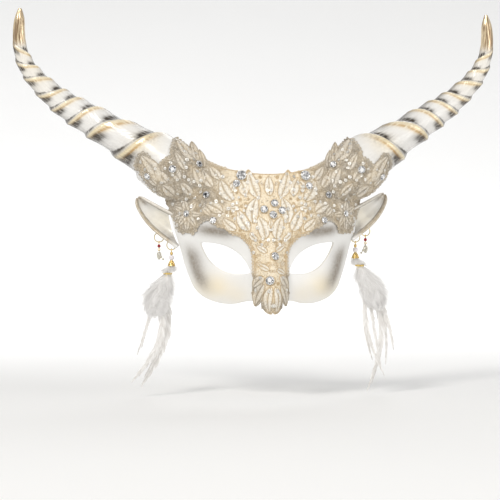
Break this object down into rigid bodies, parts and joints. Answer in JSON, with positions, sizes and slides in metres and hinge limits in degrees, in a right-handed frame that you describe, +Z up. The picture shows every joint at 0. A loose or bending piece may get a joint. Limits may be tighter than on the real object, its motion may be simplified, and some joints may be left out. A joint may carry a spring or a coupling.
{
  "type": "horned masquerade half mask",
  "caption": "White and gold half mask with long spiral horns, ears, a jewelled lace panel and hanging feather and charm drops.",
  "frame": {"origin": "the seat on the bridge of the nose, on the inside of the shell between the eyes", "axes": "+Z up, the face looks along -Y, +X to the right of someone facing the mask"},
  "size_m": [0.4042, 0.1071, 0.3136],
  "materials": {
    "shell_paint": "white lacquer with a warm pearl glow and taupe airbrushed shading",
    "horn_paint": "glossy white with gilded, dark-edged spiral ridges and a gilded tip",
    "ear_paint": "white with a cream hollow and grey-gold rims",
    "plug_wood": "plain turned wood",
    "steel": "zinc-plated",
    "lace": "corded lace on fine net, ivory to taupe gold",
    "crystal": "cut stones in silver cups",
    "gilt": "polished gold plate",
    "pearl": "pearl lustre",
    "down": "soft white down",
    "hackle": "white feather barbs on fine quills",
    "gold_thread": "metallic thread",
    "red_bead": "cut red glass",
    "silver": "pale gold-silver plate"
  },
  "bodies": {
    "mask": {"mask_shell": "shell_paint", "horn_screws": "steel", "horn_washers": "steel", "lace_forehead": "lace", "lace_nose": "lace", "centre_stones": "crystal", "crest_stones": "crystal", "nose_stones": "crystal", "horn_left": "horn_paint", "horn_plug_left": "plug_wood", "ear_left": "ear_paint", "lace_horn_left": "lace", "lace_temple_left": "lace", "temple_stones_left": "crystal", "tie_loop_left": "gilt", "ring_eyes_left": "gilt", "horn_right": "horn_paint", "horn_plug_right": "plug_wood", "ear_right": "ear_paint", "lace_horn_right": "lace", "lace_temple_right": "lace", "temple_stones_right": "crystal", "tie_loop_right": "gilt", "ring_eyes_right": "gilt"},
    "ring_inner_left": {"inner_ring_left": "gilt"},
    "feather_drop_left": {"drop_pin_left": "gilt", "gold_bead_left": "gilt", "pearl_left": "pearl", "bead_cap_left": "gilt", "feather_fluff_left": "down", "feather_tie_left": "gold_thread", "feather_plumes_left": "hackle"},
    "ring_outer_left": {"outer_ring_left": "gilt"},
    "charm_drop_left": {"charm_pin_left": "gilt", "red_bead_left": "red_bead", "charm_link_left": "silver", "leaf_charm_left": "silver", "end_beads_left": "silver"},
    "ring_inner_right": {"inner_ring_right": "gilt"},
    "feather_drop_right": {"drop_pin_right": "gilt", "gold_bead_right": "gilt", "pearl_right": "pearl", "bead_cap_right": "gilt", "feather_fluff_right": "down", "feather_tie_right": "gold_thread", "feather_plumes_right": "hackle"},
    "ring_outer_right": {"outer_ring_right": "gilt"},
    "charm_drop_right": {"charm_pin_right": "gilt", "red_bead_right": "red_bead", "charm_link_right": "silver", "leaf_charm_right": "silver", "end_beads_right": "silver"}
  },
  "joints": [
    {"name": "ring_inner_left_swing", "type": "hinge", "parent": "mask", "child": "ring_inner_left", "pos_m": [-0.07522, 0.04437, 0.01347], "axis": [1, 0, 0], "range_deg": [-8, 60]},
    {"name": "feather_drop_left_slide", "type": "hinge", "parent": "ring_inner_left", "child": "feather_drop_left", "pos_m": [-0.07522, 0.04437, 0.00967], "axis": [0, 1, 0], "range_deg": [-20, 35]},
    {"name": "ring_outer_left_swing", "type": "hinge", "parent": "mask", "child": "ring_outer_left", "pos_m": [-0.08499, 0.04855, 0.01966], "axis": [1, 0, 0], "range_deg": [-8, 60]},
    {"name": "charm_drop_left_slide", "type": "hinge", "parent": "ring_outer_left", "child": "charm_drop_left", "pos_m": [-0.08499, 0.04855, 0.01586], "axis": [0, 1, 0], "range_deg": [-20, 35]},
    {"name": "ring_inner_right_swing", "type": "hinge", "parent": "mask", "child": "ring_inner_right", "pos_m": [0.07588, 0.04476, 0.01943], "axis": [1, 0, 0], "range_deg": [-8, 60]},
    {"name": "feather_drop_right_slide", "type": "hinge", "parent": "ring_inner_right", "child": "feather_drop_right", "pos_m": [0.07588, 0.04476, 0.01563], "axis": [0, 1, 0], "range_deg": [-35, 20]},
    {"name": "ring_outer_right_swing", "type": "hinge", "parent": "mask", "child": "ring_outer_right", "pos_m": [0.08499, 0.04855, 0.02451], "axis": [1, 0, 0], "range_deg": [-8, 60]},
    {"name": "charm_drop_right_slide", "type": "hinge", "parent": "ring_outer_right", "child": "charm_drop_right", "pos_m": [0.08499, 0.04855, 0.02071], "axis": [0, 1, 0], "range_deg": [-35, 20]}
  ]
}
